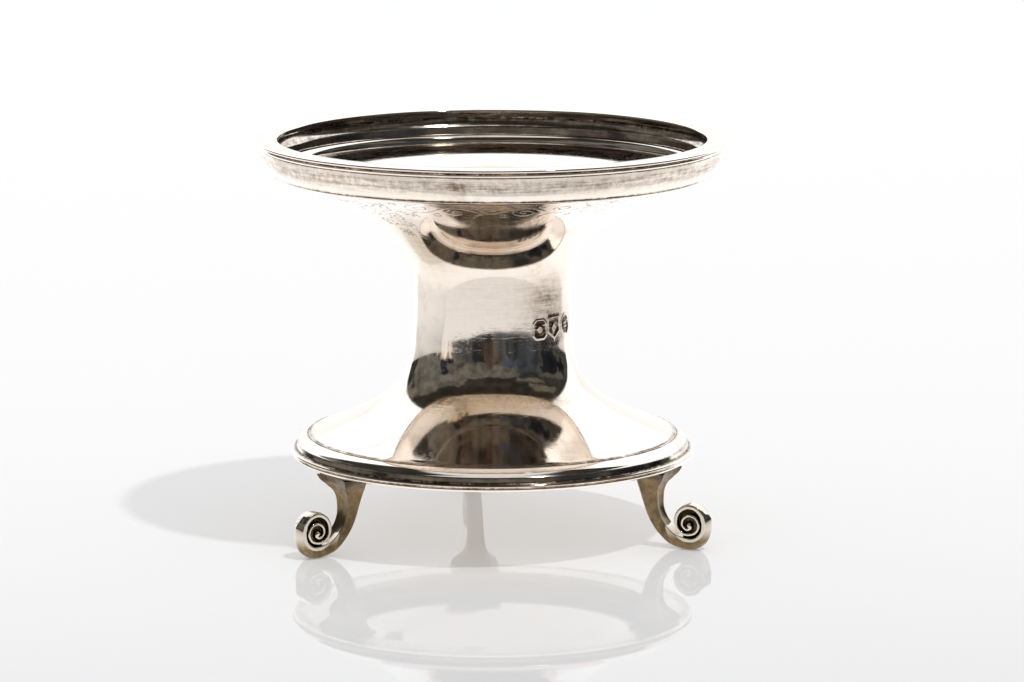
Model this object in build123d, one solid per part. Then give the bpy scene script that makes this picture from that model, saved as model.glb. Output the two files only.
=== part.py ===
from build123d import *
import math
import os

# A silver sugar bowl shaped like a spool: a wide trumpet bowl with a moulded rim, a straight
# waist, and a trumpet base with a moulded ring that stands on three cast scroll feet.
# Millimetres, +Z up, origin on the standing surface under the middle of the bowl. The back foot
# points along +Y and the others stand 120 degrees to each side of it.

# Driving dimensions
HEIGHT = 68.0
RIM_RADIUS = 40.0
WAIST_RADIUS = 13.36
BASE_RADIUS = 34.35
SHEET = 0.8

# Heights of the main seams
LIP_BOTTOM = HEIGHT - 0.85
BAND_TOP = HEIGHT - 1.55
BAND_BOTTOM = HEIGHT - 5.75
BOWL_NECK_TOP = 42.5
WAIST_SEAM = 34.3
SHOULDER_TOP = 17.35
FILLET_BOTTOM = 14.45
SEAT_BOTTOM = 13.75
PLATE_BOTTOM = 13.15

# Radii of the main seams
LIP_INNER_RADIUS = 36.25
BAND_FOOT_RADIUS = 36.9
BOWL_EDGE_RADIUS = 36.1
SHOULDER_RADIUS = 31.4
SEAT_OUTER_RADIUS = 33.2
SEAT_INNER_RADIUS = 28.0

# The trumpets open as a power of the distance from the waist
BOWL_FLARE_POWER = 2.25
BASE_FLARE_POWER = 2.75
FLARE_STEPS = 14

# The pan that closes the bottom of the bowl
PAN_SHEET = 0.6
PAN_BOTTOM = 31.4
PAN_TOP = 38.4
PAN_DISH = 1.2

# Scroll feet
FOOT_ANGLES = {"left": 210.0, "right": 330.0, "back": 90.0}
VOLUTE_CENTRE = (36.7, 4.3)
VOLUTE_RADIUS = 2.6
VOLUTE_HALF_WIDTH = 1.45
VOLUTE_TURNS = 1.75
GROOVE_WIDTH = 0.5
GROOVE_DEPTH = 0.45
EYE_RADIUS = 0.75
EYE_STANDS_PROUD = 0.25
PLATE_BACK = 26.5
PLATE_FRONT = 33.3
PLATE_HALF_WIDTH = 4.1


def revolved(section):
    """Turn a section drawn in the XZ plane about the Z axis."""
    return revolve(section, Axis.Z, 360)


def flare_points(neck, edge, power):
    """Outer line of a trumpet from its neck (radius, height) to its edge, and its sheet side."""
    outer, inner = [], []
    reach, rise = edge[0] - neck[0], edge[1] - neck[1]
    for step in range(FLARE_STEPS + 1):
        along = step / FLARE_STEPS
        radius = neck[0] + reach * along ** power
        height = neck[1] + rise * along
        slope = reach * power * along ** (power - 1) / rise
        length = math.hypot(slope, 1)
        outer.append((radius, height))
        inner.append((radius - SHEET / length, height + SHEET * slope / length))
    return outer, inner


def rim_lip():
    """Flat ring that crowns the bowl, slightly domed on top, with a rounded outer edge."""
    with BuildSketch(Plane.XZ) as section:
        with BuildLine():
            Line((LIP_INNER_RADIUS, LIP_BOTTOM), (LIP_INNER_RADIUS, HEIGHT - 0.25))
            ThreePointArc((LIP_INNER_RADIUS, HEIGHT - 0.25), (38.1, HEIGHT), (39.8, HEIGHT - 0.2))
            ThreePointArc((39.8, HEIGHT - 0.2), (RIM_RADIUS, HEIGHT - 0.4), (39.8, HEIGHT - 0.6))
            Line((39.8, HEIGHT - 0.6), (39.5, LIP_BOTTOM))
            Line((39.5, LIP_BOTTOM), (LIP_INNER_RADIUS, LIP_BOTTOM))
        make_face()
    return revolved(section.sketch)


def rim_bead():
    """Half-round wire soldered under the lip."""
    with BuildSketch(Plane.XZ) as section:
        with BuildLine():
            Line((38.95, LIP_BOTTOM), (37.6, LIP_BOTTOM))
            Line((37.6, LIP_BOTTOM), (37.6, BAND_TOP))
            Line((37.6, BAND_TOP), (38.95, BAND_TOP))
            ThreePointArc((38.95, BAND_TOP), (39.3, (LIP_BOTTOM + BAND_TOP) / 2), (38.95, LIP_BOTTOM))
        make_face()
    return revolved(section.sketch)


def rim_band():
    """Drawn border strip, convex outside and stepped inside, from the bead to the bowl."""
    with BuildSketch(Plane.XZ) as section:
        with BuildLine():
            Line((37.3, BAND_TOP), (39.05, BAND_TOP))
            ThreePointArc((39.05, BAND_TOP), (38.65, HEIGHT - 3.6), (37.35, BAND_BOTTOM))
            Line((37.35, BAND_BOTTOM), (35.3, BAND_BOTTOM))
            ThreePointArc((35.3, BAND_BOTTOM), (35.65, HEIGHT - 4.9), (36.4, HEIGHT - 4.4))
            Line((36.4, HEIGHT - 4.4), (36.6, HEIGHT - 3.2))
            ThreePointArc((36.6, HEIGHT - 3.2), (37.1, HEIGHT - 2.5), (37.3, BAND_TOP))
        make_face()
    return revolved(section.sketch)


def upper_bowl():
    """Spun trumpet and waist, with a turned-out edge that carries the border strip."""
    edge = (BOWL_EDGE_RADIUS, BAND_BOTTOM - 0.4)
    outer, inner = flare_points((WAIST_RADIUS, BOWL_NECK_TOP), edge, BOWL_FLARE_POWER)
    neck_outer, neck_inner = (WAIST_RADIUS, WAIST_SEAM), (WAIST_RADIUS - SHEET, WAIST_SEAM)
    with BuildSketch(Plane.XZ) as section:
        with BuildLine():
            Line(neck_inner, neck_outer)
            Line(neck_outer, outer[0])
            Spline(outer)
            Line(outer[-1], (BAND_FOOT_RADIUS, BAND_BOTTOM - 0.25))
            Line((BAND_FOOT_RADIUS, BAND_BOTTOM - 0.25), (BAND_FOOT_RADIUS, BAND_BOTTOM))
            Line((BAND_FOOT_RADIUS, BAND_BOTTOM), (inner[-1][0], BAND_BOTTOM))
            Line((inner[-1][0], BAND_BOTTOM), inner[-1])
            Spline(inner)
            Line(inner[0], neck_inner)
        make_face()
    below_band = Pos(0, 0, BAND_BOTTOM / 2) * Cylinder(RIM_RADIUS, BAND_BOTTOM)
    return revolved(section.sketch) & below_band


def bowl_pan():
    """Dished pan with an upstanding skirt that backs the waist seam from inside."""
    outside = WAIST_RADIUS - SHEET
    with BuildSketch(Plane.XZ) as section:
        with BuildLine():
            Line((outside, PAN_TOP), (outside - PAN_SHEET, PAN_TOP))
            Line((outside - PAN_SHEET, PAN_TOP), (outside - PAN_SHEET, PAN_BOTTOM + 2.6))
            RadiusArc((outside - PAN_SHEET, PAN_BOTTOM + 2.6), (outside - 2.2, PAN_BOTTOM + PAN_DISH), 1.6)
            Spline((outside - 2.2, PAN_BOTTOM + PAN_DISH), (5.0, PAN_BOTTOM + 0.75),
                   (0, PAN_BOTTOM + PAN_SHEET), tangents=[(-1, -0.12), (-1, 0)])
            Line((0, PAN_BOTTOM + PAN_SHEET), (0, PAN_BOTTOM))
            Spline((0, PAN_BOTTOM), (5.0, PAN_BOTTOM + 0.15), (outside - 2.2, PAN_BOTTOM + 0.6),
                   tangents=[(1, 0), (1, 0.12)])
            RadiusArc((outside - 2.2, PAN_BOTTOM + 0.6), (outside, PAN_BOTTOM + 2.8), -2.2)
            Line((outside, PAN_BOTTOM + 2.8), (outside, PAN_TOP))
        make_face()
    return revolved(section.sketch)


def base_flare():
    """Spun trumpet of the base, open underneath."""
    outer, inner = flare_points((WAIST_RADIUS, WAIST_SEAM), (SHOULDER_RADIUS, SHOULDER_TOP),
                                BASE_FLARE_POWER)
    foot = (SHOULDER_RADIUS, inner[-1][1] - 0.05)
    with BuildSketch(Plane.XZ) as section:
        with BuildLine():
            Line(inner[0], outer[0])
            Spline(outer)
            Line(outer[-1], foot)
            Line(foot, inner[-1])
            Spline(inner)
        make_face()
    return revolved(section.sketch)


def base_moulding():
    """Moulded border of the base: convex shoulder, deep cove and a flat fillet."""
    with BuildSketch(Plane.XZ) as section:
        with BuildLine():
            Line((SHOULDER_RADIUS, 16.45), (SHOULDER_RADIUS, SHOULDER_TOP))
            ThreePointArc((SHOULDER_RADIUS, SHOULDER_TOP), (32.5, 16.95), (33.25, 16.1))
            ThreePointArc((33.25, 16.1), (33.4, 15.35), (34.1, 15.0))
            Line((34.1, 15.0), (BASE_RADIUS, 14.85))
            Line((BASE_RADIUS, 14.85), (BASE_RADIUS, FILLET_BOTTOM))
            Line((BASE_RADIUS, FILLET_BOTTOM), (32.2, FILLET_BOTTOM))
            ThreePointArc((32.2, FILLET_BOTTOM), (32.25, 15.7), (SHOULDER_RADIUS, 16.45))
        make_face()
    return revolved(section.sketch)


def base_bead():
    """Half-round wire under the fillet of the base."""
    middle = (FILLET_BOTTOM + SEAT_BOTTOM) / 2
    with BuildSketch(Plane.XZ) as section:
        with BuildLine():
            Line((33.85, FILLET_BOTTOM), (SEAT_OUTER_RADIUS, FILLET_BOTTOM))
            Line((SEAT_OUTER_RADIUS, FILLET_BOTTOM), (SEAT_OUTER_RADIUS, SEAT_BOTTOM))
            Line((SEAT_OUTER_RADIUS, SEAT_BOTTOM), (33.85, SEAT_BOTTOM))
            ThreePointArc((33.85, SEAT_BOTTOM), (34.2, middle), (33.85, FILLET_BOTTOM))
        make_face()
    return revolved(section.sketch)


def foot_seat():
    """Flat ring inside the bead, to which the feet are soldered."""
    ring = Circle(SEAT_OUTER_RADIUS) - Circle(SEAT_INNER_RADIUS)
    return Pos(0, 0, SEAT_BOTTOM) * extrude(ring, FILLET_BOTTOM - SEAT_BOTTOM)


def foot_plate():
    """Thin spreader plate between the seat and one foot, drawn for a foot along +X."""
    middle = (PLATE_BACK + PLATE_FRONT) / 2
    outline = Pos(middle, 0) * RectangleRounded(PLATE_FRONT - PLATE_BACK, 2 * PLATE_HALF_WIDTH, 1.2)
    outline &= Circle(PLATE_FRONT - 0.1)
    return Pos(0, 0, PLATE_BOTTOM) * extrude(outline, SEAT_BOTTOM - PLATE_BOTTOM)


def foot_side_view():
    """Leg and outer band of a scroll foot, seen from the side: distance from the axis, height."""
    with BuildSketch(Plane.XZ) as side:
        with BuildLine():
            Line((33.0, PLATE_BOTTOM), (26.8, PLATE_BOTTOM))
            Spline((26.8, PLATE_BOTTOM), (27.9, 9.4), (28.8, 6.1), (30.5, 2.7), (32.9, 0.7), (35.6, 0.0),
                   tangents=[(0.5, -1.6), (1, 0)])
            Line((35.6, 0.0), (37.0, 0.0))
            Spline((37.0, 0.0), (39.0, 1.3), (39.85, 3.4), (RIM_RADIUS, 5.4), tangents=[(1, 0), (0, 1)])
            Spline((RIM_RADIUS, 5.4), (38.7, 7.1), (36.5, 8.0), (34.6, 7.2), (34.0, 5.4), (34.3, 3.6),
                   tangents=[(-1, 0.8), (0.3, -1)])
            Spline((34.3, 3.6), (33.0, 3.6), (31.7, 4.9), (31.1, 7.4), (31.5, 10.6), (33.0, PLATE_BOTTOM),
                   tangents=[(-1, -0.1), (1, 1)])
        make_face()
    return side.sketch


def foot_front_view():
    """A scroll foot seen along its radius: half width against height, for a foot along +X."""
    with BuildSketch(Plane.YZ) as front:
        with BuildLine():
            Line((-3.9, PLATE_BOTTOM), (3.9, PLATE_BOTTOM))
            Spline((3.9, PLATE_BOTTOM), (1.85, 10.3), (1.42, 7.0), (VOLUTE_HALF_WIDTH, 0),
                   tangents=[(-1.6, -1), (0, -1)])
            Line((VOLUTE_HALF_WIDTH, 0), (-VOLUTE_HALF_WIDTH, 0))
            Spline((-VOLUTE_HALF_WIDTH, 0), (-1.42, 7.0), (-1.85, 10.3), (-3.9, PLATE_BOTTOM),
                   tangents=[(0, 1), (-1.6, 1)])
        make_face()
    return front.sketch


def volute_groove():
    """Spiral channel cut into one face of the scroll, drawn flat about the scroll's middle."""
    steps = 28
    left, right = [], []
    for step in range(steps + 1):
        along = step / steps
        turn = math.radians(-60 + 360 * VOLUTE_TURNS * along)
        radius = VOLUTE_RADIUS - (VOLUTE_RADIUS - 1.1) * along
        width = GROOVE_WIDTH * (1 - 0.35 * along)
        direction = (math.cos(turn), math.sin(turn))
        left.append(tuple((radius - width / 2) * part for part in direction))
        right.append(tuple((radius + width / 2) * part for part in direction))
    with BuildSketch() as groove:
        with BuildLine():
            Spline(left)
            Line(left[-1], right[-1])
            Spline(right)
            Line(right[0], left[0])
        make_face()
    return groove.sketch


def scroll_foot():
    """Cast scroll foot along +X: flared leg, outer band, spiral grooves and an eye each side."""
    leg = extrude(foot_side_view(), 6, both=True)
    leg &= Pos(20, 0, 0) * extrude(foot_front_view(), 25)
    for facing in (1, -1):
        face_plane = Plane((VOLUTE_CENTRE[0], -facing * VOLUTE_HALF_WIDTH, VOLUTE_CENTRE[1]),
                           x_dir=(1, 0, 0), z_dir=(0, -facing, 0))
        groove = volute_groove() if facing == 1 else mirror(volute_groove(), Plane.XZ)
        leg -= face_plane * Pos(0, 0, -GROOVE_DEPTH) * extrude(groove, 2 * GROOVE_DEPTH)
        eye = Cone(EYE_RADIUS, EYE_RADIUS / 2, GROOVE_DEPTH + EYE_STANDS_PROUD,
                   align=(Align.CENTER, Align.CENTER, Align.MIN))
        leg += face_plane * Pos(0, 0, -GROOVE_DEPTH) * eye
    return leg


def around(shape, angle):
    """Turn a foot or plate drawn along +X to its own place round the bowl."""
    return Rot(0, 0, angle) * shape


nodes = {
    "rim_lip": rim_lip(),
    "rim_bead": rim_bead(),
    "rim_band": rim_band(),
    "upper_bowl": upper_bowl(),
    "bowl_pan": bowl_pan(),
    "base_flare": base_flare(),
    "base_moulding": base_moulding(),
    "base_bead": base_bead(),
    "foot_seat": foot_seat(),
}
for place, angle in FOOT_ANGLES.items():
    nodes[f"foot_plate_{place}"] = around(foot_plate(), angle)
    nodes[f"scroll_foot_{place}"] = around(scroll_foot(), angle)

os.makedirs("parts", exist_ok=True)
for name, shape in nodes.items():
    export_step(shape, f"parts/{name}.step")
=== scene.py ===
import math

import bmesh
import bpy
import numpy as np
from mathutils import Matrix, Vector


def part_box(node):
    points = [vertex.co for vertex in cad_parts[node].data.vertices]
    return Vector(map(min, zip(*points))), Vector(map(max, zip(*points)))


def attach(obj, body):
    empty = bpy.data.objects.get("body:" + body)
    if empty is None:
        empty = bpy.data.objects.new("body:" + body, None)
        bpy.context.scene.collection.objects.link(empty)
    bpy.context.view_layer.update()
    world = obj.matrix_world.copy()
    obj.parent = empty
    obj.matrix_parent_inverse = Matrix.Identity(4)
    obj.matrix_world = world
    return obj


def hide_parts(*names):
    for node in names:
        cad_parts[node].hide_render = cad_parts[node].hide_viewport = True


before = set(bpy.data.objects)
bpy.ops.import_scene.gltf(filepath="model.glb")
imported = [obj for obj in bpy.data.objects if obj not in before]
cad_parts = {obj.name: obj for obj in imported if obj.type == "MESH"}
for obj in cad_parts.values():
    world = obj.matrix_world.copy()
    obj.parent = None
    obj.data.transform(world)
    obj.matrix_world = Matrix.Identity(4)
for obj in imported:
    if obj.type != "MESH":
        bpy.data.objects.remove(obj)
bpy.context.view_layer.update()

MM = 0.001
TURN = 2 * math.pi


def reach(node):
    """Largest radius of a turned CAD node, in millimetres."""
    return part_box(node)[1].x / MM


def bottom(node):
    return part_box(node)[0].z / MM


def top(node):
    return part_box(node)[1].z / MM


# Seams and main radii, in millimetres, read from the CAD frame
HEIGHT = top("rim_lip")
LIP_BOTTOM = bottom("rim_lip")
BAND_TOP = top("rim_band")
BAND_BOTTOM = bottom("rim_band")
WAIST_SEAM = bottom("upper_bowl")
SHOULDER_TOP = top("base_moulding")
FILLET_BOTTOM = bottom("base_moulding")
SEAT_BOTTOM = bottom("foot_seat")
PLATE_BOTTOM = bottom("foot_plate_back")
PAN_BOTTOM = bottom("bowl_pan")
PAN_TOP = top("bowl_pan")
RIM_RADIUS = reach("rim_lip")
BAND_FOOT_RADIUS = reach("upper_bowl")
BASE_RADIUS = reach("base_moulding")
SHOULDER_RADIUS = reach("base_flare")
SEAT_OUTER_RADIUS = reach("foot_seat")
WAIST_INNER_RADIUS = reach("bowl_pan")
FOOT_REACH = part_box("scroll_foot_back")[1].y / MM

# The waist and the two trumpets: the sheet, where each trumpet ends as (radius, height), and the
# power of the distance from the waist by which it opens
SHEET = 0.8
WAIST_RADIUS = WAIST_INNER_RADIUS + SHEET
BOWL_NECK_TOP = WAIST_SEAM + 8.2
BOWL_EDGE = (BAND_FOOT_RADIUS - 0.8, BAND_BOTTOM - 0.4)
BASE_EDGE = (SHOULDER_RADIUS, SHOULDER_TOP)
BOWL_FLARE_POWER = 2.32
BASE_FLARE_POWER = 2.75

# The waist is slightly hollow: where it starts to widen downwards, how sharply it curves, and the
# height below the seam over which the curve straightens
HOLLOW_FROM = WAIST_SEAM + 5.2
HOLLOW_CURVE = 0.0145
HOLLOW_FADE = 3.0

# Angles round the bowl start at -Y and grow towards +X
CAMERA_ANGLE = math.radians(-6.0)
FOOT_ANGLES = {"left": math.radians(-60), "right": math.radians(60), "back": math.pi}


# ---------------------------------------- outlines
def arc(start, through, end, steps=8):
    """Points on the circle through three (radius, height) points, without the last one."""
    (ax, ay), (bx, by), (cx, cy) = start, through, end
    d = 2 * (ax * (by - cy) + bx * (cy - ay) + cx * (ay - by))
    a2, b2, c2 = ax * ax + ay * ay, bx * bx + by * by, cx * cx + cy * cy
    ox = (a2 * (by - cy) + b2 * (cy - ay) + c2 * (ay - by)) / d
    oy = (a2 * (cx - bx) + b2 * (ax - cx) + c2 * (bx - ax)) / d
    radius = math.hypot(ax - ox, ay - oy)
    first, middle, last = (math.atan2(y - oy, x - ox) for x, y in (start, through, end))
    sweep = (last - first) % TURN
    if (middle - first) % TURN > sweep:
        sweep -= TURN
    turns = [first + sweep * i / steps for i in range(steps)]
    return [(ox + radius * math.cos(a), oy + radius * math.sin(a)) for a in turns]


def line(start, end, steps=1):
    """Evenly spaced points from start towards end, without the last one."""
    return [tuple(a + (b - a) * i / steps for a, b in zip(start, end)) for i in range(steps)]


def smooth_line(points, steps):
    """Points along a Catmull-Rom curve through rows of numbers, ends included."""
    rows = np.asarray(points, dtype=float)
    ahead, behind = 2 * rows[-1] - rows[-2], 2 * rows[0] - rows[1]
    rows = np.vstack([behind, rows, ahead])
    spans = len(rows) - 3
    out = []
    for step in range(steps + 1):
        at = spans * step / steps
        i = min(int(at), spans - 1)
        t = at - i
        p0, p1, p2, p3 = rows[i:i + 4]
        out.append(0.5 * (2 * p1 + (p2 - p0) * t + (2 * p0 - 5 * p1 + 4 * p2 - p3) * t * t
                          + (3 * p1 - p0 - 3 * p2 + p3) * t ** 3))
    return np.array(out)


def flare(neck, edge, power, alongs):
    """Outer line of a trumpet and its line on the other side of the sheet, at shares along it."""
    outer, inner = [], []
    spread, rise = edge[0] - neck[0], edge[1] - neck[1]
    for along in alongs:
        radius, height = neck[0] + spread * along ** power, neck[1] + rise * along
        slope = spread * power * along ** (power - 1) / rise
        length = math.hypot(slope, 1)
        outer.append((radius + waist_swell(height), height))
        inner.append((radius - SHEET / length, height + SHEET * slope / length))
    return outer, inner


def waist_swell(height):
    """How far the waist and the top of the base stand out because the waist is hollow."""
    below, seam = HOLLOW_FROM - height, HOLLOW_FROM - WAIST_SEAM
    if below <= seam:
        return HOLLOW_CURVE * max(below, 0) ** 2 / 2
    share = min((below - seam) / HOLLOW_FADE, 1)
    swell = HOLLOW_CURVE * seam * (seam / 2 + HOLLOW_FADE * (share - share ** 2 / 2))
    left = min((height - SHOULDER_TOP) / (WAIST_SEAM - HOLLOW_FADE - SHOULDER_TOP), 1)
    return swell * left * left * (3 - 2 * left)


def half_round(inner, core, low, high, bulge=0.35):
    """Outline of a half-round wire between two heights, flat inside and round outside."""
    return (line((inner, low), (core, low), 2)
            + arc((core, low), (core + bulge, (low + high) / 2), (core, high), 14)
            + line((core, high), (inner, high), 2)
            + line((inner, high), (inner, low), 2))


# ---------------------------------------- meshes
# Cuts this deep, in millimetres, and deeper ones hold this share of soil
TARNISHED_CUT = 0.012
CUT_SOIL = 0.7


def mesh_object(name, points_mm, faces, crisp_above=35.0):
    """A smooth-shaded mesh from points in millimetres; edges sharper than the angle stay crisp."""
    mesh = bpy.data.meshes.new(name)
    mesh.from_pydata([tuple(p) for p in np.asarray(points_mm) * MM], [], faces)
    mesh.update()
    mesh.shade_smooth()
    mesh.set_sharp_from_angle(angle=math.radians(crisp_above))
    thing = bpy.data.objects.new(name, mesh)
    bpy.context.scene.collection.objects.link(thing)
    return thing


def face_outwards(mesh):
    edit = bmesh.new()
    edit.from_mesh(mesh)
    bmesh.ops.recalc_face_normals(edit, faces=edit.faces)
    edit.to_mesh(mesh)
    edit.free()


def tube_faces(rings, count):
    """Faces of a tube made of rings of points, with a cap at both ends."""
    faces = [(i * count + j, i * count + (j + 1) % count, (i + 1) * count + (j + 1) % count,
              (i + 1) * count + j) for i in range(rings - 1) for j in range(count)]
    faces.append(tuple(range(count))[::-1])
    faces.append(tuple(range((rings - 1) * count, rings * count)))
    return faces


def store(thing, name, values):
    """Keeps a share from 0 to 1 at each point for the silver to read: its tarnish with painted shade, or its
    toning.
    """
    layer = thing.data.attributes.new(name, "FLOAT", "POINT")
    layer.data.foreach_set("value", np.clip(values, 0, 1).astype(np.float32).ravel())


def lathe(name, outline, angles=None, columns=320, sink=None, tarnish_and_shade_rings=(), stains=(), tones=()):
    """Turns a closed outline of (radius, height), given anticlockwise, about the Z axis.

    It stops at the given angles, or else at that many columns evenly spaced round the axis.
    sink(radius, height, angle) gives how far each point sinks along its normal. Rings of
    (radius, height, spread, amount) darken grooves, seams and undersides with tarnish and painted
    shade, and stains are clouds of tarnish at (degrees round, radius, height, spread across, spread
    up, amount). tones are like stains, but they are clear and golden.
    """
    angles = np.linspace(0, TURN, columns, endpoint=False) if angles is None else np.asarray(angles)
    outline = np.asarray(outline, dtype=float)
    along = np.roll(outline, -1, 0) - np.roll(outline, 1, 0)
    normal = np.stack([along[:, 1], -along[:, 0]], -1)
    normal /= np.linalg.norm(normal, axis=1)[:, None] + 1e-12
    rows, columns = len(outline), len(angles)
    radius = np.repeat(outline[:, :1], columns, 1)
    height = np.repeat(outline[:, 1:], columns, 1)
    angle = np.repeat(angles[None], rows, 0)
    soil_and_shade = np.zeros_like(radius)
    # Darker rings in grooves, seams and under edges: tarnish and painted shade
    for r, z, spread, amount in tarnish_and_shade_rings:
        soil_and_shade += amount * np.exp(-((radius - r) ** 2 + (height - z) ** 2) / spread ** 2)
    tone = np.zeros_like(radius)
    for layer, clouds in ((soil_and_shade, stains), (tone, tones)):
        for degrees, r, z, wide, tall, amount in clouds:
            across = ((angle - math.radians(degrees) + math.pi) % TURN - math.pi) * r
            gap = (across / wide) ** 2 + ((height - z) / tall) ** 2 + ((radius - r) / wide) ** 2
            layer += amount * np.exp(-gap)
    if sink is not None:
        depth = sink(radius, height, angle)
        radius = radius - depth * normal[:, :1]
        height = height - depth * normal[:, 1:]
        soil_and_shade += np.clip(depth / TARNISHED_CUT, 0, 1) * CUT_SOIL
    points = np.stack([radius * np.sin(angle), -radius * np.cos(angle), height], -1)
    i, j = np.meshgrid(np.arange(rows), np.arange(columns), indexing="ij")
    k, m = (i + 1) % rows, (j + 1) % columns
    faces = np.stack([i * columns + j, i * columns + m, k * columns + m, k * columns + j], -1)
    thing = mesh_object(name, points.reshape(-1, 3), faces.reshape(-1, 4).tolist())
    store(thing, "soil_and_shade", soil_and_shade)
    store(thing, "tone", tone)
    return thing


def stands_for(thing, slot, *nodes):
    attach(thing, "root")
    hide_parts(*nodes)


# ---------------------------------------- rim
def rim_lip():
    inner, under = RIM_RADIUS - 3.75, RIM_RADIUS - 0.7
    crest, corner = (RIM_RADIUS - 1.9, HEIGHT), (RIM_RADIUS - 0.28, HEIGHT - 0.17)
    outline = (line((inner, LIP_BOTTOM), (inner, HEIGHT - 0.42), 3)
               + arc((inner, HEIGHT - 0.42), (inner + 0.1, HEIGHT - 0.2), (inner + 0.4, HEIGHT - 0.1), 6)
               + arc((inner + 0.4, HEIGHT - 0.1), crest, corner, 14)
               + arc(corner, (RIM_RADIUS, HEIGHT - 0.42), (RIM_RADIUS - 0.3, HEIGHT - 0.66), 10)
               + line((RIM_RADIUS - 0.3, HEIGHT - 0.66), (under, LIP_BOTTOM), 3)
               + line((under, LIP_BOTTOM), (inner, LIP_BOTTOM), 4))
    lip = lathe("rim_lip_ring", outline,
                tarnish_and_shade_rings=[(under - 0.1, LIP_BOTTOM, 0.35, 0.9), (inner, LIP_BOTTOM, 0.3, 0.8)])
    stands_for(lip, "bright_silver", "rim_lip")
    return lip


def rim_bead():
    core = RIM_RADIUS - 1.05
    bead = lathe("rim_bead_wire", half_round(RIM_RADIUS - 2.4, core, BAND_TOP, LIP_BOTTOM),
                 tarnish_and_shade_rings=[(core, BAND_TOP, 0.14, 0.5), (core, LIP_BOTTOM, 0.2, 1.0)])
    stands_for(bead, "bright_silver", "rim_bead")
    return bead


def rim_band():
    def at(inside, height):
        """A place as its distance inside the rim's edge and its height."""
        return RIM_RADIUS - inside, height

    foot, shoulder = at(2.65, BAND_BOTTOM), at(0.95, BAND_TOP - 0.12)
    edge, throat = at(1.1, BAND_TOP), at(2.7, BAND_TOP)
    step_top, step_foot = at(3.4, HEIGHT - 3.2), at(3.6, HEIGHT - 4.4)
    inner = at(4.7, BAND_BOTTOM)
    outline = (arc(foot, at(1.35, HEIGHT - 3.6), shoulder, 26)
               + line(shoulder, edge, 2)
               + line(edge, throat, 3)
               + arc(throat, at(2.9, HEIGHT - 2.5), step_top, 8)
               + line(step_top, step_foot, 5)
               + arc(step_foot, at(4.35, HEIGHT - 4.9), inner, 10)
               + line(inner, foot, 4))
    band = lathe("rim_border_strip", outline,
                 tarnish_and_shade_rings=[(*at(0.95, BAND_TOP), 0.2, 0.35), (*foot, 0.25, 1.0),
                        (*at(1.3, HEIGHT - 3.3), 1.25, 0.36), (*at(1.2, HEIGHT - 2.4), 0.22, 0.25),
                        (*step_foot, 0.4, 0.3), (*at(3.3, HEIGHT - 3.0), 1.2, 0.36),
                        (*at(2.8, BAND_TOP), 0.5, 0.9)])
    stands_for(band, "bright_silver", "rim_band")
    return band


# ---------------------------------------- ornament on the bowl
# The engraving runs between these angles, where the mesh has a column at every step. It is drawn
# as it lies on the flare at this radius.
ENGRAVED_FROM, ENGRAVED_TO = math.radians(-82), math.radians(72)
ENGRAVED_STEP = math.radians(0.345)
ENGRAVING_RADIUS = 30.0
CUT_HALF_WIDTH = 0.17
CUT_DEPTH = 0.012
SPRAY_ANGLE = math.radians(-47)


def spiral(centre, outer, inner, start, turns, steps=22):
    """A spiral stroke about a centre, from one radius to another."""
    share = np.linspace(0, 1, steps)
    radius = outer + (inner - outer) * share
    turn = start + TURN * turns * share
    return np.stack([centre[0] + radius * np.cos(turn), centre[1] + radius * np.sin(turn)], -1)


def leaf(root, tip, bow, steps=7):
    """A bowed stroke from root to tip."""
    share = np.linspace(0, 1, steps)[:, None]
    root, tip = np.array(root, dtype=float), np.array(tip, dtype=float)
    side = np.array([root[1] - tip[1], tip[0] - root[0]])
    return root + (tip - root) * share + side * bow * 4 * share * (1 - share)


def border_strokes():
    """A running scroll under the rim: distance round the bowl and distance down from the edge."""
    pitch, middle, sway = 11.5, 5.6, 1.7
    left, right = ENGRAVED_FROM * ENGRAVING_RADIUS + 2, ENGRAVED_TO * ENGRAVING_RADIUS - 3
    count = int((right - left) / pitch)
    stem = np.linspace(left, left + count * pitch, count * 20 + 1)
    strokes = [np.stack([stem, middle + sway * np.sin(TURN * (stem - left) / pitch)], -1)]
    for unit in range(2 * count):
        side = 1 if unit % 2 == 0 else -1
        crest = left + (unit + 0.5) * pitch / 2
        size = 2.0 + 0.35 * math.sin(2.1 * unit)
        strokes.append(spiral((crest + 0.2, middle - side * 1.0), size, 0.35, side * 1.9, side * 1.5, 34))
        strokes.append(spiral((crest + 2.6, middle + side * 2.9), size * 0.42, 0.25, -side * 1.2, -side, 18))
        root = (crest - 1.0, middle + side * (sway + 0.2))
        for reach_out, bow in ((1.1 + 0.3 * math.sin(1.3 * unit), 0.25), (2.3, 0.15)):
            tip = (crest - 1.6 - 0.5 * reach_out, middle + side * (sway + reach_out))
            strokes.append(leaf(root, tip, side * bow))
    return strokes


def spray_strokes():
    """A leafy spray hanging from the border at the left, as lines of (across, down)."""
    strokes = [leaf((0.0, 2.0), (-0.6, 12.0), 0.12, 16), leaf((-0.6, 12.0), (1.6, 20.5), -0.14, 14)]
    curls = ((-2.6, 5.0, 2.0, 1), (2.7, 6.4, 2.2, -1), (-3.0, 9.4, 1.9, 1), (2.0, 11.2, 1.8, -1),
             (-2.2, 13.6, 1.6, 1), (2.0, 15.4, 1.4, -1), (-0.8, 17.6, 1.1, 1), (2.4, 19.6, 0.8, -1),
             (-6.3, 6.6, 1.6, -1), (6.5, 8.0, 1.4, 1))
    for across, down, size, side in curls:
        strokes.append(spiral((across, down), size, 0.3, side * 0.6, side * 1.6, 30))
        for petal in range(5):
            turn = side * (0.7 + 0.62 * petal)
            start = (across + size * 1.05 * math.cos(turn), down + size * 1.05 * math.sin(turn))
            end = (across + size * 1.6 * math.cos(turn + side * 0.35),
                   down + size * 1.6 * math.sin(turn + side * 0.35))
            strokes.append(leaf(start, end, side * 0.2))
    return strokes


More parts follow.
